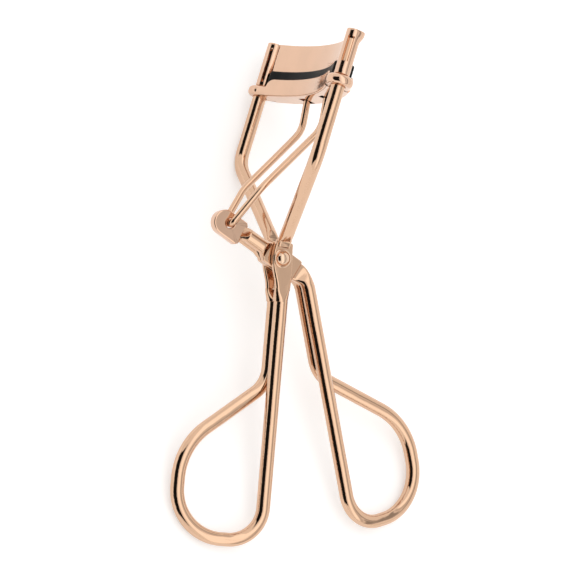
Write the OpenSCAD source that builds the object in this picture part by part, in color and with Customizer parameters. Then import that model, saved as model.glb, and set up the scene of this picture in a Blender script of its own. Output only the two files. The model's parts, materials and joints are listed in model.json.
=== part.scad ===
// Eyelash curler: a wire frame with two guide rods and a finger loop, a lever with its own finger
// loop, a sliding lower jaw with a rubber pad, a fixed upper jaw and a wire link that joins them.
//
// Every module is drawn in the tool's own axes, with the origin on the rivet:
// +X along the rivet, +Y towards the lever's finger loop, +Z along the guide rods to the jaws.
// place() then lays the tool on its left side, as it lies on a table.

/* [Wire] */
// Diameter of the frame and lever wire
wire_d = 2.7; // [2.5:0.05:2.8]
// Diameter of the link wire
link_d = 1.4; // [1.2:0.05:1.5]

/* [Guide rods] */
// Distance between the two guide rods, centre to centre
rod_spacing = 34; // [33:0.5:35]
// How far the guide rods stand from the rivet, towards the hammer
rod_offset = 5.8; // [5.6:0.1:6]
// Height of the bend where the rods turn in to the cheeks
rod_bend_z = 18; // [17:0.5:19]
// Height of the rods' upper ends
rod_top_z = 43; // [42.5:0.1:43.2]
// Radius of that bend
rod_bend_r = 6; // [4:0.5:7]
// Diameter of the rods' upper ends, inside the upper jaw's sleeves
tenon_d = 2; // [1.8:0.1:2.2]

/* [Jaws] */
// How far the curved jaws bow out of the plane of the rods
jaw_bow = 4; // [3.6:0.1:4.6]
// Width of the lower jaw across its walls
jaw_w = 5; // [4.8:0.1:5.2]
// Underside of the lower jaw with the jaws shut
jaw_floor_z = 32; // [31.9:0.1:32.2]
// Top of the lower jaw's walls
jaw_wall_z = 35.2; // [35:0.1:35.6]
// Top of the rubber pad
pad_top_z = 37.3; // [37:0.1:37.5]
// Top edge of the upper jaw
upper_jaw_z = 43.3; // [42.8:0.1:43.3]

/* [Pivot] */
// Diameter of the rivet's shank
rivet_d = 2.4; // [2.2:0.05:2.5]
// Gap between the two cheeks
cheek_gap = 3; // [2.9:0.05:3.1]
// Thickness of each cheek
cheek_t = 1.1; // [1:0.05:1.2]

/* [Handles] */
// Angle of the frame's handle from the line of the rods
frame_angle = 13; // [11:0.5:15]
// Angle of the lever's handle from the line of the rods
lever_angle = 30; // [29:0.5:34]
// Length of a handle from the rivet to the end of its finger loop
handle_len = 54.3; // [50:0.1:58]
// Width of a finger loop, centre to centre of its wire
loop_w = 17; // [16:0.5:19]

/* [Hammer] */
// Distance from the rivet to the link's pivot in the hammer
hammer_arm = 12.2; // [12:0.1:12.4]
// How far the hammer's arm rises above a right angle to the rods
hammer_rise = 14.7; // [13:0.1:16]
// Thickness of the hammer plate
hammer_t = 2; // [1.8:0.1:2.1]

/* [Hidden] */
$fn = 48;

metal = [0.93, 0.68, 0.56];
rubber = [0.12, 0.12, 0.13];
far = 60;           // longer than any solid that a cut takes away
run_clear = 0.08;   // radial clearance of a running fit
wire_sides = 16;    // sides of the bent wires
touch_gap = 0.05;   // gap between shut faces that belong to different moving pieces

// Curved jaws: arcs about one centre, so that they follow the eyelid
half_span = rod_spacing / 2;
jaw_r = (half_span * half_span + jaw_bow * jaw_bow) / (2 * jaw_bow);
jaw_cy = jaw_bow - rod_offset - jaw_r;
jaw_wall_t = 0.5;
jaw_floor_t = 0.6;
jaw_end = asin(14.2 / jaw_r);      // half angle of the lower jaw's channel
pad_end = asin(14.9 / jaw_r);      // half angle of the pad above the ears
pad_foot_x = 13.2;                 // half length of the pad inside the channel
plate_end = asin(16 / jaw_r);      // half angle of the upper jaw's plate, inside its sleeves
rod_turn = asin(half_span / jaw_r);
pad_w = jaw_w - 2 * jaw_wall_t - 0.04;
ear_z = [31.8, 34];
ear_r = 2.6;
plate_t = 1;
sleeve_r = 1.5;
sleeve_z = [34.2, 43.4];
window_z = [36.7, 41.7];
window_w = 1.3;
window_turn = 36;                   // the windows face outwards and a little forwards
hook_room_z = 34.9;                // roof of the pocket for the link's hooks, under the pad
hook_room_x = 8;
hook_slot_y = [-2.85, -0.05];      // ends of the floor slots that the link's legs swing in

// Where a guide rod meets its cheek, and the outline of a cheek in Y and Z
foot_x = 2.6;
foot_y = -0.6;
cheek_top_z = 3.4;
cheek_foot_z = -5.6;
rod_corner = [half_span, -rod_offset, rod_bend_z];
rod_run = [foot_x, foot_y, cheek_top_z] - rod_corner;
rod_foot_z = rod_bend_z + bend_trim([0, 0, -1], rod_run, rod_bend_r);
cheek_outline = [[-2.1, cheek_top_z], [-2.1, 1], [-1.3, -1.6], [0.6, cheek_foot_z],
    [3.4, cheek_foot_z], [3.3, -3], [2.1, 0.8], [1.4, cheek_top_z]];
rivet_head_r = 1.8;
rivet_rim_t = 0.3;
dome_r = 1.55;
dome_h = 0.9;

// Handles: u runs down the handle and v out to the side that its loop bows to
frame_down = [0, sin(frame_angle), -cos(frame_angle)];
frame_out = [0, -cos(frame_angle), -sin(frame_angle)];
frame_leg_v = -1;
lever_down = [0, sin(lever_angle), -cos(lever_angle)];
lever_out = [0, cos(lever_angle), sin(lever_angle)];
lever_leg_v = 4.9;
leg_x = wire_d / 2 + 0.1;
loop_shoulder_u = handle_len - 17.1;
loop_neck_u = handle_len - 30.2;
loop_bends = [[6.5, 10], [9.4, 12], [12.5, 8], [6.4, 6]];

// Lever arm: t runs from the rivet towards the hammer
arm_dir = [0, -cos(hammer_rise), sin(hammer_rise)];
arm_up = [0, sin(hammer_rise), cos(hammer_rise)];
hammer_pin = hammer_arm * arm_dir;
lever_plate_t = cheek_gap / 2 - run_clear;
lever_plate_w = 4.4;
lever_plate_ends = [-4.45, 3];
hammer_ends = [8.7, 15.5];
hammer_w = 4.9;
hammer_drop = 0.35;                // the hammer's middle lies below the arm's line
link_hole_mouth = 1.15;
link_hole_land = 0.8;              // length of the round hole between its two flared mouths
lever_bend = [5.5, 7];

// Link: the corners of its right leg, from the hammer's hole up to the hook in the lower jaw
link_base_x = 0.9;
link_leg_x = 4.2;
link_top = [link_leg_x, -1.6, 33.5];
link_corners = [[link_base_x, hammer_pin[1], hammer_pin[2]],
    [1.9, hammer_pin[1], hammer_pin[2]], [4, -9, 11.2], [link_leg_x, -0.7, 26], link_top,
    [6, link_top[1], link_top[2]]];
link_bends = [[1, 6], [8, 3], [6, 5], [1.3, 6]];   // radius and number of steps of each bend

frame_v = [frame_leg_v, frame_leg_v + loop_w];
frame_corners = [frame_point(leg_x, 2, frame_v[0]), frame_point(leg_x, handle_len, frame_v[0]),
    frame_point(-leg_x, handle_len, frame_v[1]), frame_point(-leg_x, loop_shoulder_u, frame_v[1]),
    frame_point(-leg_x, loop_neck_u, frame_v[0]), frame_point(-leg_x, 2, frame_v[0])];
// The corner where the lever arm's line meets the line of the lever's inner leg
lever_v = [lever_leg_v, lever_leg_v + loop_w];
lever_corner_u = lever_leg_v / (lever_out * arm_dir) * (arm_dir * lever_down);
lever_corners = [arm_point(leg_x, lever_plate_ends[0], 0),
    lever_point(leg_x, lever_corner_u, lever_v[0]), lever_point(leg_x, handle_len, lever_v[0]),
    lever_point(-leg_x, handle_len, lever_v[1]), lever_point(-leg_x, loop_shoulder_u, lever_v[1]),
    lever_point(-leg_x, loop_neck_u, lever_v[0]), lever_point(-leg_x, lever_corner_u, lever_v[0]),
    arm_point(-leg_x, lever_plate_ends[0], 0)];
lever_bends = concat([lever_bend], loop_bends, [lever_bend]);

// How the tool lies: on the bend of its left rod and on both finger loops, so that it is turned in
// the plane of the table until the two loops are level, then raised at the jaws
turn = 22.5;
tilt = 12.95;
row_x = [0, cos(turn), sin(turn)];
row_y = [-sin(tilt), -sin(turn) * cos(tilt), cos(turn) * cos(tilt)];
row_z = [cos(tilt), -sin(turn) * sin(tilt), cos(turn) * sin(tilt)];
both_loops = concat(wire_path(frame_corners, loop_bends), wire_path(lever_corners, lever_bends));
left_rod = [-half_span, -rod_offset, 0];
left_rod_path = [for (p = wire_path([rod_corner + rod_run, rod_corner, rod_corner + [0, 0, far]],
    [[rod_bend_r, 16]])) [-p[0], p[1], p[2]]];
loop_drop = reach(both_loops, -row_z);
rod_drop = reach(left_rod_path, -row_z);
rest_drop = max(loop_drop, rod_drop) + wire_d / 2;
row_centre = [(reach(both_loops, row_x) - reach(both_loops, -row_x)) / 2,
    (post_reach(left_rod + [0, 0, sleeve_z[1]], sleeve_r, row_y)
    - reach(both_loops, -row_y) - wire_d / 2) / 2];

function unit(v) = v / norm(v);
function frame_point(x, u, v) = [x, 0, 0] + u * frame_down + v * frame_out;
function lever_point(x, u, v) = [x, 0, 0] + u * lever_down + v * lever_out;
function arm_point(x, t, up) = [x, 0, 0] + t * arm_dir + up * arm_up;
// How far a list of points, or the rim of an upright post, reaches in the direction dir
function reach(path, dir) = max([for (p = path) p * dir]);
function post_reach(p, r, dir) = p * dir + r * norm([dir[0], dir[1]]);
function bend_angle(a, b) = acos(unit(a) * unit(b));
// Length that a bend of radius r takes from each of the two straights that meet in it
function bend_trim(a, b, r) = r * tan(bend_angle(a, b) / 2);

// Stand children on the frame whose X axis is ex and whose Z axis is ez, with its origin at p
module on_axes(p, ex, ez) {
    ey = cross(ez, ex);
    multmatrix([[ex[0], ey[0], ez[0], p[0]], [ex[1], ey[1], ez[1], p[1]],
        [ex[2], ey[2], ez[2], p[2]], [0, 0, 0, 1]]) children();
}

// One straight of round wire from p to q
module straight(p, q, d) {
    ez = unit(q - p);
    on_axes(p, unit(cross(ez, abs(ez[0]) > 0.9 ? [0, 1, 0] : [1, 0, 0])), ez)
        cylinder(h = norm(q - p), d = d);
}

// One bend at the corner p, from direction a into direction b
module bend(p, a, b, r, d) {
    phi = bend_angle(a, b);
    centre = bend_centre(p, a, b, r);
    ex = unit(p - unit(a) * bend_trim(a, b, r) - centre);
    on_axes(centre, ex, unit(cross(ex, unit(a))))
        rotate_extrude(angle = phi) translate([r, 0]) circle(d = d);
}

function bend_centre(p, a, b, r) = p + unit(unit(b) - unit(a)) * r / cos(bend_angle(a, b) / 2);

// Points along one bend at the corner p, in n steps
function bend_points(p, a, b, r, n) = let (
    phi = bend_angle(a, b),
    centre = bend_centre(p, a, b, r),
    ex = p - unit(a) * bend_trim(a, b, r) - centre)
    [for (i = [0 : n]) centre + ex * cos(phi * i / n) + unit(a) * r * sin(phi * i / n)];

// The line of a wire through its corners. bends holds the radius and the steps of each inner corner.
function wire_path(corners, bends) = let (
    last = len(corners) - 1,
    steps = [for (i = [0 : last - 1]) corners[i + 1] - corners[i]])
    concat([corners[0]], [for (i = [1 : last - 1]) each bend_points(corners[i], steps[i - 1],
        steps[i], bends[i - 1][0], bends[i - 1][1])], [corners[last]]);

// One ring of a wire's surface round the point p, square to the direction t
function ring(p, t, across, r) = let (ex = unit(cross(across, t)), ey = cross(unit(t), ex))
    [for (k = [0 : wire_sides - 1]) p + r * (ex * cos(360 * k / wire_sides)
        + ey * sin(360 * k / wire_sides))];

// Smooth wire along corner points. across is a direction that the wire never runs along, and its
// two end faces are square to end_dirs.
module bent_wire(corners, bends, d, across, end_dirs) {
    path = wire_path(corners, bends);
    end = len(path) - 1;
    points = [for (i = [0 : end]) each ring(path[i], i == 0 ? end_dirs[0] : i == end ? end_dirs[1]
        : path[i + 1] - path[i - 1], across, d / 2)];
    walls = [for (i = [0 : end - 1]) for (k = [0 : wire_sides - 1])
        let (a = i * wire_sides, b = a + wire_sides, m = (k + 1) % wire_sides)
        [a + k, b + k, b + m, a + m]];
    caps = [[for (k = [0 : wire_sides - 1]) k],
        [for (k = [wire_sides - 1 : -1 : 0]) end * wire_sides + k]];
    polyhedron(points, concat(walls, caps));
}

// A plate cut in Y and Z, from x0 to x0 + t
module side_plate(x0, t) {
    translate([x0, 0, 0]) rotate([90, 0, 90]) linear_extrude(t) children();
}

// A band of the jaws' arc between two heights, out to half angle a on each side
module jaw_band(w, z0, z1, a) {
    translate([0, jaw_cy, z0]) rotate(90 - a) rotate_extrude(angle = 2 * a)
        translate([jaw_r - w / 2, 0]) square([w, z1 - z0]);
}

// A round bar along X
module x_bar(x0, x1, d) {
    translate([x0, 0, 0]) rotate([0, 90, 0]) cylinder(h = x1 - x0, d = d);
}

module mirrored(side) {
    if (side > 0) children();
    else mirror([1, 0, 0]) children();
}

// The straight part of a guide rod: the lower jaw's ear slides below its shoulder, and the upper
// jaw's sleeve sits on the shoulder
module guide_rod(side) {
    color(metal) mirrored(side) translate([half_span, -rod_offset, 0]) rotate_extrude()
        polygon([[0, rod_foot_z], [wire_d / 2, rod_foot_z], [wire_d / 2, sleeve_z[0]],
            [tenon_d / 2, sleeve_z[0]], [tenon_d / 2, rod_top_z], [0, rod_top_z]]);
}

// The bend below a guide rod, and the straight that runs in to the cheek
module frame_shoulder(side) {
    path = [[half_span, -rod_offset, rod_foot_z], rod_corner, rod_corner + 1.2 * rod_run];
    color(metal) mirrored(side) difference() {
        bent_wire(path, [[rod_bend_r, 16]], wire_d, [0, 1, 0], [[0, 0, -1], rod_run]);
        translate([-far / 2, -far / 2, cheek_top_z - far]) cube(far);
    }
}

module frame_cheek(side) {
    color(metal) mirrored(side) difference() {
        side_plate(cheek_gap / 2, cheek_t) polygon(cheek_outline);
        x_bar(0, cheek_gap, rivet_d);
    }
}

module frame_finger_loop() {
    color(metal) difference() {
        bent_wire(frame_corners, loop_bends, wire_d, [1, 0, 0], [frame_down, -frame_down]);
        translate([-far / 2, -far / 2, cheek_foot_z]) cube(far);
    }
}

module upper_jaw() {
    color(metal) difference() {
        union() {
            jaw_band(plate_t, pad_top_z + touch_gap, upper_jaw_z, plate_end);
            for (side = [1, -1]) mirrored(side) sleeve();
        }
        for (side = [1, -1]) mirrored(side) translate([half_span, -rod_offset, 0]) {
            cylinder(h = far, d = tenon_d);
            rotate(-window_turn) translate([tenon_d / 4, -window_w / 2, window_z[0]])
                cube([sleeve_r, window_w, window_z[1] - window_z[0]]);
        }
    }
}

// The rolled end of the upper jaw that grips a guide rod, with its flared corner
module sleeve() {
    translate([half_span, -rod_offset, sleeve_z[0]])
        cylinder(h = sleeve_z[1] - sleeve_z[0], r = sleeve_r);
    side_plate(half_span - 0.4, 0.8) polygon([[1 - rod_offset, sleeve_z[1]],
        [2.2 - rod_offset, sleeve_z[1] - 0.7], [1.2 - rod_offset, sleeve_z[1] - 4]]);
}

module pivot_rivet() {
    outer = cheek_gap / 2 + cheek_t;
    ball_r = (dome_r * dome_r + dome_h * dome_h) / (2 * dome_h);
    color(metal) for (side = [1, -1]) mirrored(side) rotate([0, 90, 0]) rotate_extrude() {
        square([rivet_d / 2, outer]);
        translate([0, outer]) square([rivet_head_r, rivet_rim_t]);
        intersection() {
            translate([0, outer + rivet_rim_t + dome_h - ball_r]) circle(r = ball_r);
            translate([0, outer + rivet_rim_t]) square([rivet_head_r, dome_h + 1]);
        }
    }
}

module lower_jaw() {
    color(metal) difference() {
        jaw_band(jaw_w, jaw_floor_z, jaw_wall_z, jaw_end);
        jaw_band(jaw_w - 2 * jaw_wall_t, jaw_floor_z + jaw_floor_t, far, jaw_end + 1);
        for (side = [1, -1])
            translate([side * link_leg_x - link_d / 2 - 0.25, hook_slot_y[0], jaw_floor_z - 1])
                cube([link_d + 0.5, hook_slot_y[1] - hook_slot_y[0], 2]);
    }
}

// The flange at one end of the lower jaw that slides on a guide rod
module jaw_ear(side) {
    color(metal) mirrored(side) difference() {
        union() {
            translate([half_span, -rod_offset, ear_z[0]])
                cylinder(h = ear_z[1] - ear_z[0], r = ear_r);
            translate([0, jaw_cy, ear_z[0]]) rotate(90 - rod_turn)
                rotate_extrude(angle = rod_turn - jaw_end)
                translate([jaw_r - jaw_w / 2, 0]) square([jaw_w, ear_z[1] - ear_z[0]]);
        }
        translate([half_span, -rod_offset, 0]) cylinder(h = far, r = wire_d / 2 + run_clear);
    }
}

module rubber_pad() {
    color(rubber) difference() {
        jaw_band(pad_w, jaw_floor_z + jaw_floor_t, pad_top_z, pad_end);
        for (side = [1, -1]) mirrored(side)
            translate([pad_foot_x, -far / 2, 0]) cube([far, far, ear_z[1] + touch_gap]);
        translate([-hook_room_x, -far / 2, 0]) cube([2 * hook_room_x, far, hook_room_z]);
    }
}

module link_crossbar() {
    color(metal) translate(hammer_pin) x_bar(-link_base_x, link_base_x, link_d);
}

module link_leg(side) {
    color(metal) mirrored(side)
        bent_wire(link_corners, link_bends, link_d, [0, 1, 0], [[1, 0, 0], [1, 0, 0]]);
}

module lever_plate(side) {
    color(metal) mirrored(side) difference() {
        on_axes([0, 0, 0], -arm_dir, [1, 0, 0])
            translate([-lever_plate_ends[1], -lever_plate_w / 2, 0])
            cube([lever_plate_ends[1] - lever_plate_ends[0], lever_plate_w, lever_plate_t]);
        x_bar(-1, cheek_gap, rivet_d + 2 * run_clear);
    }
}

module lever_arm(side) {
    x = side * wire_d / 2;
    color(metal) straight(arm_point(x, lever_plate_ends[1], 0), arm_point(x, hammer_ends[0], 0),
        wire_d);
}

module hammer_plate() {
    round_t = hammer_ends[1] - hammer_w / 2;
    color(metal) difference() {
        on_axes(arm_point(0, 0, -hammer_drop), arm_dir, [1, 0, 0])
            translate([0, 0, -hammer_t / 2]) {
                translate([hammer_ends[0], -hammer_w / 2, 0])
                    cube([round_t - hammer_ends[0], hammer_w, hammer_t]);
                translate([round_t, 0, 0]) cylinder(h = hammer_t, d = hammer_w);
            }
        translate(hammer_pin) {
            x_bar(-hammer_t, hammer_t, link_d + 2 * run_clear);
            for (side = [1, -1]) mirrored(side) translate([link_hole_land / 2, 0, 0])
                rotate([0, 90, 0]) cylinder(h = (hammer_t - link_hole_land) / 2 + 0.01,
                r1 = link_d / 2 + run_clear, r2 = link_hole_mouth);
        }
    }
}

module lever_finger_loop() {
    color(metal) bent_wire(lever_corners, lever_bends, wire_d, [1, 0, 0], [-arm_dir, arm_dir]);
}

// Lay the tool down: its axes X, Y and Z become the table's Z, X and Y, then it is turned and tilted
module place() {
    translate([-row_centre[0], -row_centre[1], rest_drop]) rotate([tilt, 0, 0])
        rotate([0, 0, -turn]) rotate([90, 0, 90]) rotate([90, 0, 90]) children();
}

place() guide_rod(-1);  // guide_rod_left
place() guide_rod(1);  // guide_rod_right
place() frame_shoulder(-1);  // frame_shoulder_left
place() frame_shoulder(1);  // frame_shoulder_right
place() frame_cheek(-1);  // frame_cheek_left
place() frame_cheek(1);  // frame_cheek_right
place() frame_finger_loop();
place() upper_jaw();
place() pivot_rivet();
place() lower_jaw();
place() jaw_ear(-1);  // jaw_ear_left
place() jaw_ear(1);  // jaw_ear_right
place() rubber_pad();
place() link_crossbar();
place() link_leg(-1);  // link_leg_left
place() link_leg(1);  // link_leg_right
place() lever_plate(-1);  // lever_plate_left
place() lever_plate(1);  // lever_plate_right
place() lever_arm(-1);  // lever_arm_left
place() lever_arm(1);  // lever_arm_right
place() hammer_plate();
place() lever_finger_loop();
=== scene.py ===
"""Eyelash curler in polished rose gold with a black rubber pad, on a pale studio floor.

Every piece is drawn in millimetres in the tool's own axes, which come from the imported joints:
the origin on the rivet, +X along the rivet, +Y to the lever's handle, +Z along the guide rods.
"""

import json
import math

import bmesh
import bpy
import numpy as np
from mathutils import Matrix


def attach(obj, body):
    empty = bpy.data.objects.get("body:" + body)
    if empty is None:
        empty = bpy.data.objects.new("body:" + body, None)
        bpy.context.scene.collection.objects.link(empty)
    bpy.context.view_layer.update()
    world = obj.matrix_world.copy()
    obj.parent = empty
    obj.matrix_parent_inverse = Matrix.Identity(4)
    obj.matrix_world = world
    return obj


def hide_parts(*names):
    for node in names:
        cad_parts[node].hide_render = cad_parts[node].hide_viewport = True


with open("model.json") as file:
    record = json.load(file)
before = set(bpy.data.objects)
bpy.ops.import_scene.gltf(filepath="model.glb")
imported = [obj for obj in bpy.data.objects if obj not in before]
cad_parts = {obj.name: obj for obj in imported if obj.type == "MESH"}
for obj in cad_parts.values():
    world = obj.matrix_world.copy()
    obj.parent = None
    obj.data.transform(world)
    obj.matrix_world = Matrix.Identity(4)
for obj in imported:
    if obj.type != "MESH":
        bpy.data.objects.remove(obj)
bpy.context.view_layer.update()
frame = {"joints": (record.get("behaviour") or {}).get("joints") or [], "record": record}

JOINTS = {joint["name"]: joint for joint in frame["joints"]}
PIVOT = np.array(JOINTS["lever_pivot"]["pos_m"])
AXIS_X = np.array(JOINTS["lever_pivot"]["axis"])
AXIS_Z = -np.array(JOINTS["jaw_slide"]["axis"])
AXIS_Y = np.cross(AXIS_Z, AXIS_X)
AXES = np.array([AXIS_X, AXIS_Y, AXIS_Z])
BODY_OF = {node: body for body, nodes in frame["record"]["behaviour"]["bodies"].items()
           for node in nodes}

# Sizes in millimetres, as in the CAD to within 0.2: first the wires, the rods and the sleeves
WIRE_R = 1.35
LINK_R = 0.7
HALF_SPAN = 17.0
ROD_Y = -5.8
ROD_BEND_Z = 18.0
ROD_BEND_R = 6.0
ROD_TOP_Z = 43.0
TENON_R = 1.0
SLEEVE_R = 1.5
SLEEVE_Z = (34.2, 43.2)
WINDOW_Z = (36.7, 41.7)
WINDOW_HALF = 0.65

# The jaws and the pad
JAW_BOW = 4.0
JAW_R = (HALF_SPAN ** 2 + JAW_BOW ** 2) / (2 * JAW_BOW)
JAW_CY = JAW_BOW + ROD_Y - JAW_R
JAW_HALF_W = 2.5
JAW_FLOOR_Z = 32.0
JAW_WALL_Z = 35.4
JAW_WALL_T = 0.5
JAW_FLOOR_T = 0.6
JAW_END = math.asin(14.2 / JAW_R)
SLOT_HALF = 1.05                                        # the floor slots for the link's legs
SLOT_RADIAL = (-0.85, 1.9)
DROP_RUN, DROP = 1.9, 1.5                               # how the walls fall away at the ends
PAD_END = math.asin(14.9 / JAW_R)
PAD_HALF_W = 1.98
PAD_TOP_Z = 37.3
PAD_FOOT_HALF, PAD_FOOT_MID = 2.6, 10.6                 # the two feet in the channel
UPPER_Z = (37.35, 43.3)
EAR_TOP_Z = 34.0
EAR_R = 2.6
EAR_BORE = 1.43
EAR_EDGE = 0.8

# The cheeks and the handles; u runs down a handle and v runs out across its loop
CHEEK_X = (1.5, 2.6)
CHEEK_TOP_Z = 3.4
CHEEK_FOOT_Z = -5.6
ROD_FOOT = np.array([2.6, -0.6, CHEEK_TOP_Z])
LEG_X = WIRE_R + 0.1
HANDLE_LEN = 54.3
LOOP_W = 17.0
LOOP_RADII = (6.5, 9.4, 12.5, 6.4)
LOOP_SHOULDER_U = HANDLE_LEN - 17.1                     # where the far leg leaves the loop's side
LOOP_NECK_U = HANDLE_LEN - 30.2                         # and where it meets the near leg's line
FRAME_LEG_V = -1.0
LEVER_LEG_V = 4.9
LEVER_BEND_R = 5.5

# The lever's plates, the hammer and the link
PLATE_T = 1.42
PLATE_ENDS = (-4.45, 3.0)
PLATE_HALF_W = 2.2
HAMMER_ENDS = (8.7, 15.5)
HAMMER_HALF_W = 2.45
HAMMER_HALF_T = 1.0
HAMMER_DROP = 0.35
HAMMER_ARM = 12.2
LINK_TOP = np.array([4.2, -1.6, 33.5])


def angles(degrees):
    turn = math.radians(degrees)
    return math.cos(turn), math.sin(turn)


FRAME_COS, FRAME_SIN = angles(13)
FRAME_DOWN = np.array([0, FRAME_SIN, -FRAME_COS])
FRAME_OUT = np.array([0, -FRAME_COS, -FRAME_SIN])
LEVER_COS, LEVER_SIN = angles(30)
LEVER_DOWN = np.array([0, LEVER_SIN, -LEVER_COS])
LEVER_OUT = np.array([0, LEVER_COS, LEVER_SIN])
ARM_COS, ARM_SIN = angles(14.7)
ARM_DIR = np.array([0, -ARM_COS, ARM_SIN])
ARM_UP = np.array([0, ARM_SIN, ARM_COS])
HAMMER_PIN = HAMMER_ARM * ARM_DIR
X_DIR = np.array([1.0, 0, 0])


def unit(vector):
    vector = np.asarray(vector, float)
    return vector / np.linalg.norm(vector)


def ease(value, start, end):
    """0 before start, 1 after end, and smooth between them."""
    share = np.clip((np.asarray(value, float) - start) / (end - start), 0, 1)
    return share * share * (3 - 2 * share)


# ---------------------------------------------------------------- meshes

SHARP_DEGREES = 38


class Shape:
    """Vertices in tool millimetres, and faces."""

    def __init__(self):
        self.points = []
        self.faces = []

    def add(self, other):
        start = len(self.points)
        self.points += other.points
        self.faces += [tuple(i + start for i in face) for face in other.faces]

    def add_ring(self, ring):
        start = len(self.points)
        self.points.extend(np.asarray(ring, float).tolist())
        return list(range(start, len(self.points)))

    def bridge(self, low, high):
        count = len(low)
        for i in range(count):
            j = (i + 1) % count
            self.faces.append((low[i], low[j], high[j], high[i]))

    def loft(self, rings, caps=(True, True)):
        rows = [self.add_ring(ring) for ring in rings]
        for low, high in zip(rows, rows[1:]):
            self.bridge(low, high)
        if caps[0]:
            self.faces.append(tuple(reversed(rows[0])))
        if caps[1]:
            self.faces.append(tuple(rows[-1]))
        return rows

    def tube(self, outer, inner):
        """A closed skin: outer rings upwards and inner rings upwards, joined at both ends."""
        out_rows = self.loft(outer, (False, False))
        in_rows = [self.add_ring(ring) for ring in inner]
        for low, high in zip(in_rows, in_rows[1:]):
            self.bridge(high, low)
        self.bridge(in_rows[0], out_rows[0])
        self.bridge(out_rows[-1], in_rows[-1])


def mirrored(shape):
    """The same shape on the other side of the tool's middle plane."""
    other = Shape()
    other.points = [[-x, y, z] for x, y, z in shape.points]
    other.faces = [tuple(reversed(face)) for face in shape.faces]
    return other


def recalculate_normals(mesh):
    bm = bmesh.new()
    bm.from_mesh(mesh)
    bmesh.ops.recalc_face_normals(bm, faces=bm.faces)
    bm.to_mesh(mesh)
    bm.free()


def piece(node, shape, material):
    """Makes the shape a piece that stands for its CAD node and rides on that node's body."""
    mesh = bpy.data.meshes.new(node + "_skin")
    points = PIVOT + 0.001 * np.array(shape.points) @ AXES
    mesh.from_pydata(points.tolist(), [], shape.faces)
    mesh.validate()
    mesh.shade_smooth()
    mesh.set_sharp_from_angle(angle=math.radians(SHARP_DEGREES))
    mesh.materials.append(material)
    obj = bpy.data.objects.new(node + "_skin", mesh)
    bpy.context.scene.collection.objects.link(obj)
    recalculate_normals(mesh)
    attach(obj, BODY_OF[node])
    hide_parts(node)


# ---------------------------------------------------------------- wires

def wire_path(corners, radii, step_deg=3.0):
    """Points of a wire through its corners, with an arc of its own radius at each inner one."""
    path = [np.array(corners[0], float)]
    for i, radius in enumerate(radii, 1):
        corner = np.array(corners[i], float)
        into = unit(corner - corners[i - 1])
        out = unit(np.array(corners[i + 1], float) - corner)
        phi = math.acos(float(np.clip(into @ out, -1, 1)))
        centre = corner + unit(out - into) * radius / math.cos(phi / 2)
        arm = corner - into * radius * math.tan(phi / 2) - centre
        steps = max(4, math.ceil(math.degrees(phi) / step_deg))
        for k in range(steps + 1):
            turn = phi * k / steps
            path.append(centre + arm * math.cos(turn) + into * radius * math.sin(turn))
    path.append(np.array(corners[-1], float))
    return [path[0]] + [point for before, point in zip(path, path[1:])
                        if np.linalg.norm(point - before) > 1e-4]


def refine(path, longest):
    """The same line with no step longer than given, so that its sections can change smoothly."""
    fine = [path[0]]
    for start, end in zip(path, path[1:]):
        parts = max(1, math.ceil(np.linalg.norm(end - start) / longest))
        fine.extend(start + (end - start) * k / parts for k in range(1, parts + 1))
    return fine


def tangents(path):
    path = np.array(path)
    steps = np.diff(path, axis=0)
    steps /= np.linalg.norm(steps, axis=1)[:, None]
    both = np.vstack([steps[:1], steps[:-1] + steps[1:], steps[-1:]])
    return both / np.linalg.norm(both, axis=1)[:, None]


def section(half_a, half_b, corner, arc=12):
    """A rounded rectangle, or a circle when both halves equal the corner radius."""
    corner = min(corner, half_a, half_b)
    points = []
    for quarter in range(4):
        sign_a = 1 if quarter in (0, 3) else -1
        sign_b = 1 if quarter in (0, 1) else -1
        for k in range(arc + 1):
            turn = math.pi / 2 * (quarter + k / arc)
            points.append((sign_a * (half_a - corner) + corner * math.cos(turn),
                           sign_b * (half_b - corner) + corner * math.sin(turn)))
    return np.array(points)


def sweep(shape, path, across, sections, ends=(None, None)):
    """Skins a line. sections(length along) gives (half_a, half_b, corner, shift_a, shift_b):
    a runs square to across, and b runs along across."""
    dirs = tangents(path)
    if ends[0] is not None:
        dirs[0] = ends[0]
    if ends[1] is not None:
        dirs[-1] = ends[1]
    along = 0.0
    rings = []
    for i, (point, direction) in enumerate(zip(path, dirs)):
        if i:
            along += float(np.linalg.norm(point - path[i - 1]))
        side = unit(np.cross(across, direction))
        flat = np.cross(direction, side)
        half_a, half_b, corner, shift_a, shift_b = sections(along)
        outline = section(half_a, half_b, corner)
        rings.append(point + np.outer(outline[:, 0] + shift_a, side)
                     + np.outer(outline[:, 1] + shift_b, flat))
    shape.loft(rings)


def round_wire(radius):
    return lambda along: (radius, radius, radius, 0.0, 0.0)


# ---------------------------------------------------------------- plates and bands

def inset(outline, distance):
    """Moves each point of a counter-clockwise outline inwards along its normal."""
    ahead = np.roll(outline, -1, axis=0) - outline
    behind = outline - np.roll(outline, 1, axis=0)
    ahead /= np.maximum(np.linalg.norm(ahead, axis=1), 1e-9)[:, None]
    behind /= np.maximum(np.linalg.norm(behind, axis=1), 1e-9)[:, None]
    both = ahead + behind
    both /= np.maximum(np.linalg.norm(both, axis=1), 1e-9)[:, None]
    return outline - distance * np.column_stack([both[:, 1], -both[:, 0]])


def rounded_levels(low, high, radius, steps=6):
    """(height, inset) pairs of a slab's wall with rounded top and bottom edges."""
    quarter = [math.pi / 2 * k / steps for k in range(steps + 1)]
    levels = [(low + radius * (1 - math.sin(q)), radius * (1 - math.cos(q)))
              for q in reversed(quarter)]
    levels += [(high - radius * (1 - math.sin(q)), radius * (1 - math.cos(q))) for q in quarter]
    return levels


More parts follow.
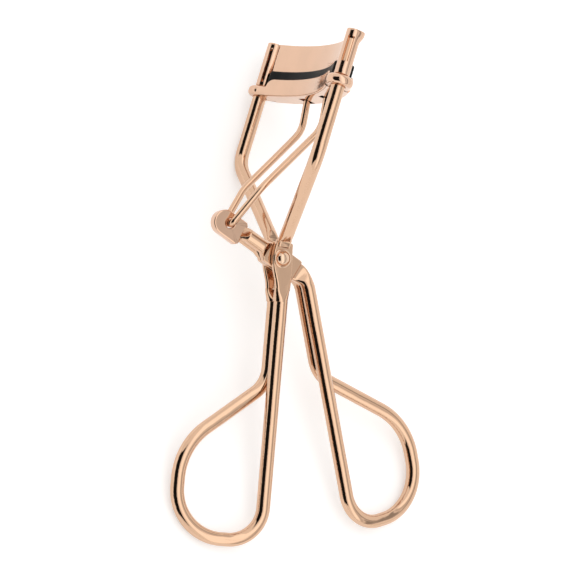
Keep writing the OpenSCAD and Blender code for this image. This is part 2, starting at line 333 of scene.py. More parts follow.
def support(levels):
    """An extra ring just inside each rounded edge of a flat face, which keeps the face flat."""
    gap = 0.06
    first, last = levels[0], levels[-1]
    return [(first[0], first[1] + gap)] + levels + [(last[0], last[1] + gap)]


def slab(shape, outline, low, high, radius, place, hole=None, hole_radius=0.0):
    """A plate between two heights, with rounded edges and, where given, a hole through it."""
    def at(flat, height):
        return place(np.column_stack([flat, np.full(len(flat), height)]))
    levels = support(rounded_levels(low, high, radius))
    outer = [at(inset(outline, inner), height) for height, inner in levels]
    if hole is None:
        shape.loft(outer)
        return
    levels = support(rounded_levels(low, high, max(hole_radius, 0.02)))
    shape.tube(outer, [at(inset(hole, -inner), height) for height, inner in levels])


def circle(radius, count, centre=(0.0, 0.0)):
    turns = np.arange(count) * 2 * math.pi / count
    return np.column_stack([centre[0] + radius * np.cos(turns),
                            centre[1] + radius * np.sin(turns)])


def smooth_outline(corners, radii, arc=10, longest=0.5):
    """A counter-clockwise outline with each corner rounded to its own radius."""
    points = []
    count = len(corners)
    for i, radius in enumerate(radii):
        corner = np.array(corners[i], float)
        into = unit(corner - corners[i - 1])
        out = unit(np.array(corners[(i + 1) % count], float) - corner)
        phi = math.acos(float(np.clip(into @ out, -1, 1)))
        trim = radius * math.tan(phi / 2)
        side = 1 if into[0] * out[1] - into[1] * out[0] > 0 else -1
        centre = corner - into * trim + side * radius * np.array([-into[1], into[0]])
        arm = corner - into * trim - centre
        for k in range(arc + 1):
            cos, sin = math.cos(side * phi * k / arc), math.sin(side * phi * k / arc)
            points.append(centre + np.array([arm[0] * cos - arm[1] * sin,
                                             arm[0] * sin + arm[1] * cos]))
    fine = []
    for i, point in enumerate(points):
        after = points[(i + 1) % len(points)]
        parts = max(1, math.ceil(np.linalg.norm(after - point) / longest))
        fine.extend(point + (after - point) * k / parts for k in range(parts))
    return np.array(fine)


def upright(points):
    """Places a plate that lies in X and Y, with its heights along Z."""
    return points


def sideways(points):
    """Places a plate that lies in Y and Z, with its heights along X."""
    return points[:, [2, 0, 1]]


def along_arm(points):
    """Places a plate that lies along the lever arm and square to it, with heights along X."""
    return (np.outer(points[:, 0], ARM_DIR) - np.outer(points[:, 1], ARM_UP)
            + np.outer(points[:, 2], X_DIR))


def jaw_point(turn, radial, height):
    """A point beside the jaws' centre line: turn along the arc, radial away from its centre."""
    return np.array([(JAW_R + radial) * math.sin(turn),
                     JAW_CY + (JAW_R + radial) * math.cos(turn), height])


def band_outline(half_w, turn_end, count=80, corner=0.5):
    """The plan of a strip along the jaws' arc, with rounded corners."""
    def side(radial, start, end):
        return [jaw_point(turn, radial, 0)[:2] for turn in np.linspace(start, end, count)]
    cut = corner / JAW_R
    ends = []
    for sign in (1, -1):
        for q in range(9):
            turn = math.pi / 2 * q / 8
            first, second = math.sin(turn), math.cos(turn)
            if sign > 0:
                ends.append((turn_end - cut * (1 - first), half_w - corner * (1 - second)))
            else:
                ends.append((turn_end - cut * (1 - second), -half_w + corner * (1 - first)))
    right = [jaw_point(turn, radial, 0)[:2] for turn, radial in ends]
    left = [jaw_point(-turn, radial, 0)[:2] for turn, radial in reversed(ends)]
    outline = (side(half_w, -turn_end + cut, turn_end - cut)[1:-1] + right
               + side(-half_w, turn_end - cut, -turn_end + cut)[1:-1] + left)
    return np.array(outline)[::-1]


def lathe(shape, profile, place, count=64):
    """Turns (radius, height) pairs round the height axis."""
    shape.loft([place(np.column_stack([circle(max(radius, 0.002), count),
                                       np.full(count, height)])) for radius, height in profile])


# ---------------------------------------------------------------- materials

class Nodes:
    """A short way to build a node tree."""

    def __init__(self, tree):
        self.tree = tree
        tree.nodes.clear()

    def add(self, kind, inputs=(), **settings):
        node = self.tree.nodes.new(kind)
        for name, value in settings.items():
            setattr(node, name, value)
        for key, value in dict(inputs).items():
            if isinstance(value, bpy.types.NodeSocket):
                self.tree.links.new(value, node.inputs[key])
            else:
                node.inputs[key].default_value = value
        return node

    def math(self, operation, first, second):
        return self.add("ShaderNodeMath", {0: first, 1: second}, operation=operation).outputs[0]

    def ramp(self, value, low, high, to_low, to_high):
        node = self.add("ShaderNodeMapRange", {0: value, 1: low, 2: high, 3: to_low, 4: to_high},
                        interpolation_type="SMOOTHSTEP")
        return node.outputs[0]


def polished_metal(name, colour, roughness):
    """Bright plating over polished steel: faint cloudy gloss, fine polishing lines, soft dents."""
    material = bpy.data.materials.new(name)
    material.use_nodes = True
    build = Nodes(material.node_tree)
    place = build.add("ShaderNodeTexCoord").outputs["Object"]
    cloud = build.add("ShaderNodeTexNoise", {"Vector": place, "Scale": 220.0, "Detail": 4.0})
    fine = build.add("ShaderNodeTexNoise", {"Vector": place, "Scale": 2600.0, "Detail": 2.0})
    tint = build.ramp(cloud.outputs["Fac"], 0.35, 0.7, 0.0, 1.0)
    deep = [channel * 0.965 for channel in colour]
    mixed = build.add("ShaderNodeMix", {0: tint, 6: (*deep, 1), 7: (*colour, 1)},
                      data_type="RGBA").outputs[2]
    gloss = build.ramp(fine.outputs["Fac"], 0.3, 0.75, roughness * 0.7, roughness * 1.5)
    lines = build.add("ShaderNodeMapping", {"Vector": place, "Scale": (900.0, 900.0, 9000.0)})
    streak = build.add("ShaderNodeTexNoise", {"Vector": lines.outputs[0], "Scale": 1.0,
                                              "Detail": 3.0})
    wave = build.add("ShaderNodeTexNoise", {"Vector": place, "Scale": 160.0, "Detail": 1.0})
    height = build.math("ADD", build.math("MULTIPLY", streak.outputs["Fac"], 0.06),
                        wave.outputs["Fac"])
    bump = build.add("ShaderNodeBump", {"Height": height, "Strength": 0.25, "Distance": 0.0006})
    shader = build.add("ShaderNodeBsdfPrincipled", {
        "Base Color": mixed, "Metallic": 1.0, "Roughness": gloss, "Normal": bump.outputs[0]})
    build.add("ShaderNodeOutputMaterial", {"Surface": shader.outputs[0]})
    return material


def pad_rubber():
    """Black silicone rubber: fine grain and dull bloom."""
    material = bpy.data.materials.new("pad_rubber")
    material.use_nodes = True
    build = Nodes(material.node_tree)
    place = build.add("ShaderNodeTexCoord").outputs["Object"]
    grain = build.add("ShaderNodeTexNoise", {"Vector": place, "Scale": 5200.0, "Detail": 3.0})
    bloom = build.add("ShaderNodeTexNoise", {"Vector": place, "Scale": 420.0, "Detail": 5.0})
    shade = build.ramp(bloom.outputs["Fac"], 0.4, 0.72, 0.0, 1.0)
    colour = build.add("ShaderNodeMix", {0: shade, 6: (0.003, 0.0032, 0.003, 1),
                                         7: (0.008, 0.0085, 0.008, 1)}, data_type="RGBA")
    gloss = build.ramp(grain.outputs["Fac"], 0.3, 0.7, 0.32, 0.5)
    bump = build.add("ShaderNodeBump", {"Height": grain.outputs["Fac"], "Strength": 0.35,
                                        "Distance": 0.00003})
    shader = build.add("ShaderNodeBsdfPrincipled", {
        "Base Color": colour.outputs[2], "Roughness": gloss, "Normal": bump.outputs[0],
        "Specular IOR Level": 0.1})
    build.add("ShaderNodeOutputMaterial", {"Surface": shader.outputs[0]})
    return material


WIRE_METAL = polished_metal("plated_wire", (0.69, 0.45, 0.305), 0.045)
SHEET_METAL = polished_metal("plated_sheet", (0.72, 0.475, 0.34), 0.05)
RIVET_METAL = polished_metal("plated_rivet", (0.74, 0.515, 0.37), 0.05)
PAD = pad_rubber()


# ---------------------------------------------------------------- frame

def guide_rod():
    shape = Shape()
    foot_z = rod_foot_z()
    tip, shoulder = 0.25, 0.12
    profile = [(0.0, foot_z), (WIRE_R, foot_z)]
    profile += [(WIRE_R, z) for z in np.arange(foot_z + 1, SLEEVE_Z[0] - 0.5, 1.5)]
    profile += [(WIRE_R, SLEEVE_Z[0] - shoulder), (WIRE_R - shoulder, SLEEVE_Z[0]),
                (TENON_R, SLEEVE_Z[0]), (TENON_R, ROD_TOP_Z - tip),
                (TENON_R - 0.1, ROD_TOP_Z - 0.06), (TENON_R - tip, ROD_TOP_Z), (0.0, ROD_TOP_Z)]
    lathe(shape, profile, lambda points: points + np.array([HALF_SPAN, ROD_Y, 0.0]))
    return shape


def rod_foot_z():
    corner = np.array([HALF_SPAN, ROD_Y, ROD_BEND_Z])
    run = unit(ROD_FOOT - corner)
    half = math.acos(float(-run[2])) / 2
    return ROD_BEND_Z + ROD_BEND_R * math.tan(half)


def frame_shoulder():
    shape = Shape()
    corner = np.array([HALF_SPAN, ROD_Y, ROD_BEND_Z])
    top = np.array([HALF_SPAN, ROD_Y, rod_foot_z()])
    run = unit(ROD_FOOT - corner)
    foot = ROD_FOOT - run * 0.4
    # Below the foot the wire turns down into the cheek
    path = refine(wire_path([top, corner, foot, [2.12, -0.35, CHEEK_TOP_Z - 1.2]],
                            [ROD_BEND_R, 0.9]), 0.35)
    total = sum(np.linalg.norm(b - a) for a, b in zip(path, path[1:]))

    def sections(along):
        flat = float(ease(total - along, 3.6, 0.9))
        return (WIRE_R + 0.02 * flat, WIRE_R - 0.72 * flat, WIRE_R - 0.85 * flat, 0.0, 0.0)
    down = np.array([0, 0, -1.0])
    sweep(shape, path, np.array([1.0, 0, 0.001]), sections, (down, down))
    return shape


CHEEK_EDGES = np.array([
    # height, near edge in Y, far edge in Y
    [CHEEK_TOP_Z, -2.0, 1.45], [2.2, -2.12, 1.72], [1.0, -2.1, 2.05], [0.0, -1.95, 2.35],
    [-1.2, -1.6, 2.75], [-2.4, -1.1, 3.1], [-3.6, -0.45, 3.36], [-4.6, 0.15, 3.52],
    [-5.6, 0.62, 3.66]])
BLEND_Z = -8.2


def leg_centre(height):
    """Where the inner leg's line passes a height, in Y."""
    down = (FRAME_LEG_V * FRAME_SIN - height) / FRAME_COS
    return down * FRAME_SIN - FRAME_LEG_V * FRAME_COS


def cheek_section(height):
    """The forged wire at a height: centre in X and Y, half thickness, half width, corner."""
    round_half = WIRE_R / FRAME_COS
    if height > CHEEK_EDGES[-1, 0]:
        near = np.interp(-height, -CHEEK_EDGES[:, 0], CHEEK_EDGES[:, 1])
        far = np.interp(-height, -CHEEK_EDGES[:, 0], CHEEK_EDGES[:, 2])
    else:
        share = float(ease(height, CHEEK_EDGES[-1, 0], BLEND_Z))
        centre = leg_centre(height)
        near = centre - round_half - 0.28 * (1 - share)
        far = centre + round_half - 0.02 * (1 - share)
    thin = 1 - float(ease(height, -3.0, -7.4))
    inner = 0.1 + (CHEEK_X[0] - 0.1) * (1 - float(ease(height, -5.3, -7.8)))
    outer = LEG_X + WIRE_R - (LEG_X + WIRE_R - CHEEK_X[1]) * thin
    half_x = (outer - inner) / 2
    corner = 0.3 + (WIRE_R - 0.3) * float(ease(height, -1.0, BLEND_Z))
    return (outer + inner) / 2, (near + far) / 2, half_x, (far - near) / 2, corner


def cheek_ring(height):
    mid_x, mid_y, half_x, half_y, corner = cheek_section(height)
    outline = section(half_x, half_y, corner)
    lean = float(ease(height, -4.0, CHEEK_FOOT_Z - 1.5)) * FRAME_SIN / FRAME_COS
    return np.column_stack([mid_x + outline[:, 0], mid_y + outline[:, 1],
                            height + outline[:, 1] * lean])


def frame_cheek():
    shape = Shape()
    round_top = 0.28
    top = [(CHEEK_TOP_Z - round_top * (1 - math.sin(q)), round_top * (1 - math.cos(q)))
           for q in np.linspace(math.pi / 2, 0, 7)]
    rings = []
    for height, pull in [(top[0][0], top[0][1] + 0.05)] + top:
        mid_x, mid_y, half_x, half_y, corner = cheek_section(height)
        outline = section(half_x - pull, half_y - pull, max(corner - pull, 0.02))
        rings.append(np.column_stack([mid_x + outline[:, 0], mid_y + outline[:, 1],
                                      np.full(len(outline), height)]))
    rings += [cheek_ring(height) for height in np.arange(CHEEK_TOP_Z - 0.45, CHEEK_FOOT_Z, -0.25)]
    rings.append(cheek_ring(CHEEK_FOOT_Z))
    shape.loft(rings[::-1], (False, True))
    return shape


def finger_loop(down, out, leg_v, start_u):
    """The corners of a handle's wire: down the near leg, round the loop and up the far leg."""
    def point(x, u, v):
        return np.array([x, 0, 0]) + u * down + v * out
    high = leg_v + LOOP_W
    return [point(LEG_X, start_u, leg_v), point(LEG_X, HANDLE_LEN, leg_v),
            point(-LEG_X, HANDLE_LEN, high), point(-LEG_X, LOOP_SHOULDER_U, high),
            point(-LEG_X, LOOP_NECK_U, leg_v), point(-LEG_X, start_u, leg_v)]


def frame_finger_loop():
    shape = Shape()
    start_u = (FRAME_LEG_V * FRAME_SIN - BLEND_Z) / FRAME_COS
    corners = finger_loop(FRAME_DOWN, FRAME_OUT, FRAME_LEG_V, start_u)
    path = refine(wire_path(corners, LOOP_RADII, 2.5), 1.2)
    dirs = tangents(path)
    dirs[0], dirs[-1] = FRAME_DOWN, -FRAME_DOWN
    neck_heights = np.arange(CHEEK_FOOT_Z, BLEND_Z + 0.01, -0.25)
    near = [cheek_ring(height) for height in neck_heights]
    outline = section(WIRE_R, WIRE_R, WIRE_R)
    rings = []
    for point, direction in zip(path, dirs):
        # The same order of points as cheek_ring: first along X, then along the wire's other side
        flat = unit(X_DIR - direction * direction[0])
        side = np.cross(flat, direction)
        rings.append(point + np.outer(outline[:, 0], flat) - np.outer(outline[:, 1], side))
    far = [match_ring(ring * np.array([-1, 1, 1]), rings[-1]) for ring in near[::-1]]
    near = [match_ring(ring, rings[0]) for ring in near]
    shape.loft(near[:-1] + rings + far[1:])
    return shape


def match_ring(ring, model):
    """Starts and turns a ring's points to follow a neighbouring ring's."""
    def best(points):
        costs = [np.sum((np.roll(points, k, axis=0) - points.mean(0) + model.mean(0) - model) ** 2)
                 for k in range(len(points))]
        k = int(np.argmin(costs))
        return costs[k], np.roll(points, k, axis=0)
    one, two = best(ring), best(ring[::-1])
    return one[1] if one[0] <= two[0] else two[1]


def rivet():
    """A shank, a rolled rim on the cheek's face, and a dome inside the rim."""
    shape = Shape()
    face = CHEEK_X[1]
    profile = [(0.0, 0.0), (1.2, 0.0), (1.2, face + 0.01), (1.62, face + 0.01),
               (1.75, face + 0.04), (1.8, face + 0.12), (1.79, face + 0.2), (1.7, face + 0.28),
               (1.6, face + 0.3), (1.53, face + 0.27), (1.47, face + 0.17), (1.42, face + 0.1),
               (1.36, face + 0.12), (1.31, face + 0.22)]
    dome = [(1.28 * math.cos(q), face + 0.3 + 0.86 * math.sin(q))
            for q in np.linspace(0, math.pi / 2, 14)]
    lathe(shape, profile + dome, sideways, 96)
    shape.add(mirrored(shape))
    return shape


# ---------------------------------------------------------------- jaws

def sleeve(shape):
    """The rolled end of the upper jaw round the rod's tenon: a slot window in front, the seam
    where the roll meets the plate, and an upper corner that flares away from the rod."""
    edge = 0.12
    base = SLEEVE_Z[0]
    flare_turn, flare_out = math.radians(80), 0.62
    slit_depth = 0.44
    window = math.radians(-36)
    half_window = math.asin(WINDOW_HALF / SLEEVE_R)
    seam, half_seam = math.radians(222), 0.075
    marks = [window - half_window, window, window + half_window]
    marks += [seam + half_seam * k for k in (-1.7, -1, 0, 1, 1.7)]
    turns = sorted({round(t % (2 * math.pi), 6) for t in marks}
                   | {round(t, 6) for t in np.linspace(0, 2 * math.pi, 73)[:-1]
                      if min(abs(t - m % (2 * math.pi)) for m in marks) > 0.03})
    heights = [base, base + 0.05, base + edge, 35.0, 35.4]
    heights += list(np.arange(35.8, WINDOW_Z[0] - 0.2, 0.3))
    heights += [WINDOW_Z[0]] + list(np.arange(WINDOW_Z[0] + 0.4, WINDOW_Z[1] - 0.2, 0.4))
    heights += [WINDOW_Z[1], 42.1, 42.5, 42.8, SLEEVE_Z[1] - edge, SLEEVE_Z[1] - 0.05,
                SLEEVE_Z[1]]

    def flare(turn, height):
        lobe = max(0.0, math.cos(turn - flare_turn)) ** 3
        return flare_out * lobe * float(ease(height, 40.7, 42.6))

    def outer_radius(turn, height):
        end = max(0.0, 1 - (height - base) / edge, 1 - (SLEEVE_Z[1] - height) / edge)
        off = abs((turn - seam + math.pi) % (2 * math.pi) - math.pi)
        slit = (1 - float(ease(off, half_seam, 1.6 * half_seam))) * float(
            ease(height, 35.1, 35.4)) * (1 - float(ease(height, 41.6, 42.0)))
        return SLEEVE_R + flare(turn, height) - 0.09 * end * end - slit_depth * slit

    def grid(radius_at):
        return [shape.add_ring([[HALF_SPAN + radius_at(t, height) * math.cos(t),
                                 ROD_Y + radius_at(t, height) * math.sin(t),
                                 height] for t in turns]) for height in heights]
    outer = grid(outer_radius)
    inner = grid(lambda turn, height: TENON_R + 0.02 + 0.75 * flare(turn, height))
    count = len(turns)
    in_window = [math.cos(t - window) >= math.cos(half_window) - 1e-5 for t in turns]
    low, high = heights.index(WINDOW_Z[0]), heights.index(WINDOW_Z[1])
    for i in range(count):
        j = (i + 1) % count
        gap = in_window[i] and in_window[j]
        for row in range(len(heights) - 1):
            if gap and low <= row < high:
                continue
            shape.faces.append((outer[row][i], outer[row][j], outer[row + 1][j],
                                outer[row + 1][i]))
            shape.faces.append((inner[row][j], inner[row][i], inner[row + 1][i],
                                inner[row + 1][j]))
        if gap:
            shape.faces.append((outer[low][i], outer[low][j], inner[low][j], inner[low][i]))
            shape.faces.append((inner[high][i], inner[high][j], outer[high][j], outer[high][i]))
        if in_window[i] != in_window[j]:
            side = i if in_window[i] else j
            for row in range(low, high):
                shape.faces.append((outer[row][side], outer[row + 1][side],
                                    inner[row + 1][side], inner[row][side]))
    shape.bridge(inner[0], outer[0])
    shape.bridge(outer[-1], inner[-1])


def upper_jaw():
    """The curved plate, slightly hollow between its edges, and the two rolled sleeves."""
    shape = Shape()
    end = math.asin((HALF_SPAN - 1.25) / JAW_R)
    half_t = 0.45
    hollow = 0.07
    levels = rounded_levels(UPPER_Z[0], UPPER_Z[1], 0.22, 5)
    low, high = levels[5][0], levels[6][0]
    levels[6:6] = [(low + (high - low) * k / 12, 0.0) for k in range(1, 12)]

    def bow(height):
        return hollow * ((height - UPPER_Z[0]) / (UPPER_Z[1] - UPPER_Z[0]) * 2 - 1) ** 2
    profile = [(half_t - pull + bow(height), height) for height, pull in levels]
    profile += [(-half_t + pull + bow(height), height) for height, pull in reversed(levels)]
    shape.loft([[jaw_point(turn, radial, height) for radial, height in profile]
                for turn in np.linspace(-end, end, 129)])
    near = Shape()
    sleeve(near)
    shape.add(near)
    shape.add(mirrored(near))
    return shape


def lower_jaw():
    """The channel: a round fold at the foot of each wall, rolled lips, walls that drop at the
    ends, and a slot in the floor for each leg of the link."""
    shape = Shape()
    lip = 0.2
    fold = 0.5
    floor = JAW_FLOOR_Z + JAW_FLOOR_T
    slot_from, slot_to = SLOT_RADIAL

    def profile(turn):
        past = (abs(turn) * JAW_R - (JAW_END * JAW_R - DROP_RUN)) / DROP_RUN
        drop = DROP * (1 - math.sqrt(max(0.0, 1 - max(0.0, past) ** 2)))
        top = JAW_WALL_Z - drop
        half = []
        for q in np.linspace(0, math.pi / 2, 9):
            half.append((JAW_HALF_W - fold * (1 - math.sin(q)),
                         JAW_FLOOR_Z + fold * (1 - math.cos(q))))
        half.append((JAW_HALF_W, top - lip - 0.05))
        for q in np.linspace(0, math.pi, 9):
            half.append((JAW_HALF_W - JAW_WALL_T / 2 + JAW_WALL_T / 2 * math.cos(q),
                         top - lip + lip * math.sin(q)))
        half.append((JAW_HALF_W - JAW_WALL_T, floor + 0.1))
        half.append((slot_to, floor))
        other = [(-radial, height) for radial, height in reversed(half)]
        return half + [(slot_from, floor)] + other + [(slot_from, JAW_FLOOR_Z),
                                                      (slot_to, JAW_FLOOR_Z)]
    turns = np.linspace(-JAW_END, JAW_END, 129)
    rows = [shape.add_ring([jaw_point(turn, radial, height) for radial, height in profile(turn)])
            for turn in turns]
    count = len(rows[0])
    # The slot's corners in the profile: two on the floor's top, then two on its underside
    top_to, top_from, under_from, under_to = count // 2 - 2, count // 2 - 1, count - 2, count - 1
    in_slot = [abs(abs(JAW_R * math.sin(turn)) - LINK_TOP[0]) < SLOT_HALF for turn in turns]
    for k, (low, high) in enumerate(zip(rows, rows[1:])):
        gap = in_slot[k] and in_slot[k + 1]
        for i in range(count):
            if not gap or i not in (top_to, under_from):
                shape.faces.append((low[i], low[(i + 1) % count], high[(i + 1) % count], high[i]))
        if gap:
            for top, under in ((top_to, under_to), (top_from, under_from)):
                shape.faces.append((low[top], low[under], high[under], high[top]))
    for k in range(1, len(rows) - 1):
        if in_slot[k] and not (in_slot[k - 1] and in_slot[k + 1]):
            shape.faces.append(tuple(rows[k][i] for i in (top_to, top_from, under_from, under_to)))
    shape.faces.append(tuple(reversed(rows[0])))
    shape.faces.append(tuple(rows[-1]))
    return shape


def jaw_ear():
    """A round flange with a bore for the guide rod, joined to the end of the channel's floor."""
    shape = Shape()
    rod = np.array([HALF_SPAN, ROD_Y])
    centre = np.array([0.0, JAW_CY])

    def inside(point):
        from_rod = point - rod
        if from_rod @ from_rod < EAR_R ** 2:
            return True
        away = point - centre
        radius = float(np.linalg.norm(away))
        turn = math.atan2(away[0], away[1])
        return abs(radius - JAW_R) < JAW_HALF_W and JAW_END - 0.012 < turn < math.asin(
            HALF_SPAN / JAW_R)
    count = 144
    step = 0.02
    turns = np.arange(count) * 2 * math.pi / count
    rays = np.column_stack([np.cos(turns), np.sin(turns)])
    reach = []
    for ray in rays:
        far = EAR_R
        while inside(rod + (far + step) * ray):
            far += step
        reach.append(far)
    reach = (np.roll(reach, 1) + 2 * np.array(reach) + np.roll(reach, -1)) / 4
    outline = rod + reach[:, None] * rays
    slab(shape, outline, JAW_FLOOR_Z + 0.03, EAR_TOP_Z, EAR_EDGE, upright,
         circle(EAR_BORE, count, rod), 0.15)
    return shape


def rubber_pad():
    """The strip above the channel, and two feet that hold it in the channel."""
    shape = Shape()
    slab(shape, band_outline(PAD_HALF_W, PAD_END, corner=0.7), EAR_TOP_Z + 0.05, PAD_TOP_Z, 0.45,
         upright)
    for sign in (-1, 1):
        foot = band_outline(PAD_HALF_W - 0.02, math.asin(PAD_FOOT_HALF / JAW_R), corner=0.2)
        turn = -sign * math.asin(PAD_FOOT_MID / JAW_R)
        cos, sin = math.cos(turn), math.sin(turn)
        spin = np.array([[cos, sin], [-sin, cos]])
        foot = (foot - [0, JAW_CY]) @ spin + [0, JAW_CY]
        slab(shape, foot, JAW_FLOOR_Z + JAW_FLOOR_T + 0.02, EAR_TOP_Z + 0.6, 0.05, upright)
    return shape


# ---------------------------------------------------------------- lever and link

def lever_corners():
    corner_u = LEVER_LEG_V / float(LEVER_OUT @ ARM_DIR) * float(ARM_DIR @ LEVER_DOWN)
    loop = finger_loop(LEVER_DOWN, LEVER_OUT, LEVER_LEG_V, corner_u)
    start = PLATE_ENDS[0] * ARM_DIR
    return [start + LEG_X * X_DIR] + loop + [start - LEG_X * X_DIR]


def lever_finger_loop():
    shape = Shape()
    radii = (LEVER_BEND_R,) + LOOP_RADII + (LEVER_BEND_R,)
    path = refine(wire_path(lever_corners(), radii, 2.5), 0.8)
    total = sum(np.linalg.norm(b - a) for a, b in zip(path, path[1:]))

    def sections(along):
        near_end = min(along, total - along)
        flat = 1 - float(ease(near_end, 0.5, 3.2))
        side = 1 if along < total / 2 else -1
        return (WIRE_R + 0.45 * flat, WIRE_R - 0.62 * flat, WIRE_R - 0.95 * flat, 0.0,
                -side * 0.65 * flat)
    sweep(shape, path, X_DIR, sections)
    return shape


def lever_plate():
    shape = Shape()
    corners = [(PLATE_ENDS[0] - 0.1, -PLATE_HALF_W), (PLATE_ENDS[1], -PLATE_HALF_W),
               (PLATE_ENDS[1], PLATE_HALF_W), (PLATE_ENDS[0] - 0.1, PLATE_HALF_W)]
    outline = smooth_outline(corners, (0.5, 0.7, 0.7, 0.5), longest=0.2)
    turns = np.arctan2(outline[:, 1], outline[:, 0])
    hole = 1.28 * np.column_stack([np.cos(turns), np.sin(turns)])
    slab(shape, outline, 0.01, PLATE_T, 0.2, along_arm, hole, 0.05)
    return shape


def lever_arm():
    shape = Shape()
    start = (PLATE_ENDS[1] - 0.3) * ARM_DIR
    end = (HAMMER_ENDS[0] + 0.6) * ARM_DIR
    path = refine([start + WIRE_R * X_DIR, end + WIRE_R * X_DIR], 0.12)
    total = float(np.linalg.norm(end - start))

    def sections(along):
        flat = 1 - float(ease(along, 0.2, 1.6))
        ramp = float(np.clip((along - total + 1.25) / 1.1, 0, 1))
        return (WIRE_R + 0.5 * flat, WIRE_R - 0.64 * flat - 0.88 * ramp,
                WIRE_R - 0.9 * flat - 0.88 * ramp, 0.0, -0.64 * flat - 0.88 * ramp)
    sweep(shape, path, X_DIR, sections)
    return shape


def hammer_plate():
    shape = Shape()
    end = HAMMER_ENDS[1] - HAMMER_HALF_W
    outline = [(end + HAMMER_HALF_W * math.cos(t), HAMMER_DROP + HAMMER_HALF_W * math.sin(t))
               for t in np.linspace(-math.pi / 2, math.pi / 2, 49)]
    start = HAMMER_ENDS[0]
    back = [(start + 0.5, HAMMER_DROP + HAMMER_HALF_W), (start, HAMMER_DROP + HAMMER_HALF_W - 0.5),
            (start, HAMMER_DROP - HAMMER_HALF_W + 0.5), (start + 0.5, HAMMER_DROP - HAMMER_HALF_W)]
    fine = []
    for a, b in zip([outline[-1]] + back, back + [outline[0]]):
        for k in range(1, 13):
            fine.append((a[0] + (b[0] - a[0]) * k / 12, a[1] + (b[1] - a[1]) * k / 12))
    outline = np.array(outline + fine[:-1])
    turns = np.arctan2(outline[:, 1], outline[:, 0] - HAMMER_ARM)
    hole = np.column_stack([HAMMER_ARM + 0.95 * np.cos(turns), 0.95 * np.sin(turns)])
    slab(shape, outline, -HAMMER_HALF_T, HAMMER_HALF_T, 0.3, along_arm, hole, 0.2)
    return shape


def link_leg():
    shape = Shape()
    corners = [[0.9, HAMMER_PIN[1], HAMMER_PIN[2]], [1.9, HAMMER_PIN[1], HAMMER_PIN[2]],
               [4, -9, 11.2], [LINK_TOP[0], -0.7, 26], LINK_TOP, LINK_TOP + [1.8, 0, 0]]
    path = wire_path(corners, (1, 8, 6, 1.3), 5)
    sweep(shape, path, np.array([0, 1.0, 0]), round_wire(LINK_R), ends=(X_DIR, X_DIR))
    return shape


def link_crossbar():
    shape = Shape()
    path = refine([HAMMER_PIN - 0.9 * X_DIR, HAMMER_PIN + 0.9 * X_DIR], 0.3)
    sweep(shape, path, np.array([0, 1.0, 0]), round_wire(LINK_R))
    return shape


for base, build, material in (
        ("guide_rod", guide_rod, WIRE_METAL), ("frame_shoulder", frame_shoulder, WIRE_METAL),
        ("frame_cheek", frame_cheek, WIRE_METAL), ("lever_plate", lever_plate, WIRE_METAL),
        ("lever_arm", lever_arm, WIRE_METAL), ("link_leg", link_leg, WIRE_METAL),
        ("jaw_ear", jaw_ear, SHEET_METAL)):
    right = build()
    piece(base + "_right", right, material)
    piece(base + "_left", mirrored(right), material)
for node, build, material in (
        ("frame_finger_loop", frame_finger_loop, WIRE_METAL), ("upper_jaw", upper_jaw, SHEET_METAL),
        ("pivot_rivet", rivet, RIVET_METAL), ("lower_jaw", lower_jaw, SHEET_METAL),
        ("rubber_pad", rubber_pad, PAD), ("link_crossbar", link_crossbar, WIRE_METAL),
        ("hammer_plate", hammer_plate, SHEET_METAL),
        ("lever_finger_loop", lever_finger_loop, WIRE_METAL)):
    piece(node, build(), material)


# ---------------------------------------------------------------- camera

VIEW_TURN, VIEW_RISE, VIEW_ROLL = 65.42, -8.95, 16.7   # degrees, in the tool's axes
VIEW_DISTANCE = 560.0                                   # millimetres from the rivet
PIXELS_PER_MM = 5.203
PICTURE = 576
AIM_RIGHT, AIM_UP = 2.245, -5.62                         # the picture's middle from the rivet

turn_cos, turn_sin = angles(VIEW_TURN)
rise_cos, rise_sin = angles(VIEW_RISE)
roll_cos, roll_sin = angles(VIEW_ROLL)
view_back = np.array([turn_sin * rise_cos, -turn_cos * rise_cos, rise_sin])
level = np.array([turn_cos, turn_sin, 0])
upward = np.cross(view_back, level)
view_right = roll_cos * level + roll_sin * upward
view_up = roll_cos * upward - roll_sin * level
eye = VIEW_DISTANCE * view_back
aim = AIM_RIGHT * view_right + AIM_UP * view_up
look_back = unit(eye - aim)
look_right = unit(np.cross(view_up, look_back))
look_up = np.cross(look_back, look_right)

camera_data = bpy.data.cameras.new("camera")
camera_data.sensor_width = 36
camera_data.lens = PIXELS_PER_MM * VIEW_DISTANCE / PICTURE * 36
camera_data.clip_start = 0.01
camera = bpy.data.objects.new("camera", camera_data)
bpy.context.scene.collection.objects.link(camera)
turned = np.array([look_right, look_up, look_back]) @ AXES
camera.matrix_world = Matrix.Translation(PIVOT + 0.001 * eye @ AXES) @ Matrix(turned.T).to_4x4()
bpy.context.scene.camera = camera


# ---------------------------------------------------------------- floor and light

FLOOR_HALF = 3.0                                        # metres
TENT_LEFT, TENT_RIGHT = 1.05, 1.08
# Each card: left and right in degrees from the lens, low and high as a sine, level, softness
CARDS = (
    (-62, -4, -0.56, 0.56, 0.012, 0.035),
    (12, 43, -0.9, 0.9, 1.55, 0.08),
    (47, 58, -0.9, 0.9, 0.78, 0.04),
    (62, 74, -0.9, 0.9, 0.42, 0.05),
)


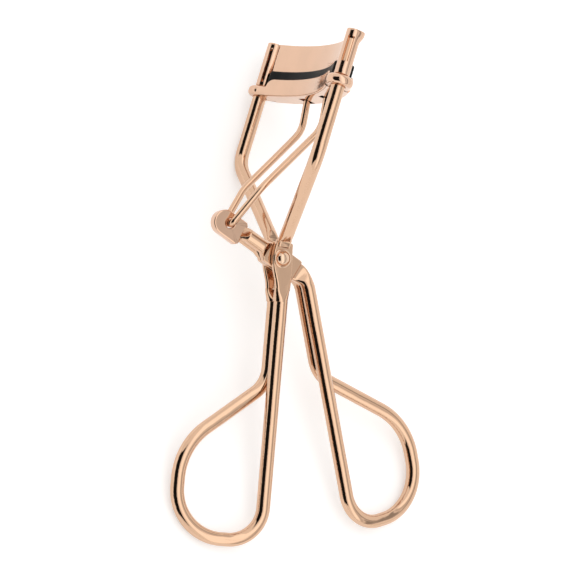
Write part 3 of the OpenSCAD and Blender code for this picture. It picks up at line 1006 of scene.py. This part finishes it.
def studio_floor():
    mesh = bpy.data.meshes.new("floor")
    corners = [(FLOOR_HALF * x, FLOOR_HALF * y, 0) for x, y in ((-1, -1), (1, -1), (1, 1), (-1, 1))]
    mesh.from_pydata(corners, [], [(0, 1, 2, 3)])
    material = bpy.data.materials.new("floor")
    material.use_nodes = True
    build = Nodes(material.node_tree)
    shader = build.add("ShaderNodeBsdfPrincipled", {
        "Base Color": (0.86, 0.86, 0.86, 1), "Roughness": 0.9, "Specular IOR Level": 0.0,
        "Emission Color": (1, 1, 1, 1), "Emission Strength": 0.36})
    build.add("ShaderNodeOutputMaterial", {"Surface": shader.outputs[0]})
    mesh.materials.append(material)
    floor = bpy.data.objects.new("floor", mesh)
    bpy.context.scene.collection.objects.link(floor)


def studio_world():
    """A bright tent with dark gaps at the left of the lens, and softer strips further round."""
    world = bpy.data.worlds.new("studio")
    bpy.context.scene.world = world
    world.use_nodes = True
    build = Nodes(world.node_tree)
    direction = build.add("ShaderNodeTexCoord").outputs["Generated"]

    def along(axis):
        node = build.add("ShaderNodeVectorMath", {0: direction, 1: tuple(axis @ AXES)},
                         operation="DOT_PRODUCT")
        return node.outputs["Value"]
    turn = build.math("ARCTAN2", along(view_right), along(view_back))
    rise = along(view_up)

    def window(value, low, high, soft):
        return build.math("MULTIPLY", build.ramp(value, low - soft, low + soft, 0.0, 1.0),
                          build.ramp(value, high - soft, high + soft, 1.0, 0.0))
    light = build.ramp(turn, -1.2, 0.2, TENT_LEFT, TENT_RIGHT)
    for left, right, low, high, level, soft in CARDS:
        mask = build.math("MULTIPLY", window(turn, math.radians(left), math.radians(right), soft),
                          window(rise, low, high, soft))
        change = build.math("MULTIPLY", mask, build.math("SUBTRACT", level, light))
        light = build.math("ADD", light, change)
    background = build.add("ShaderNodeBackground", {"Color": (1, 0.995, 0.985, 1),
                                                    "Strength": light})
    build.add("ShaderNodeOutputWorld", {"Surface": background.outputs[0]})


studio_floor()
studio_world()

view_settings = bpy.context.scene.view_settings
view_settings.view_transform = "Standard"
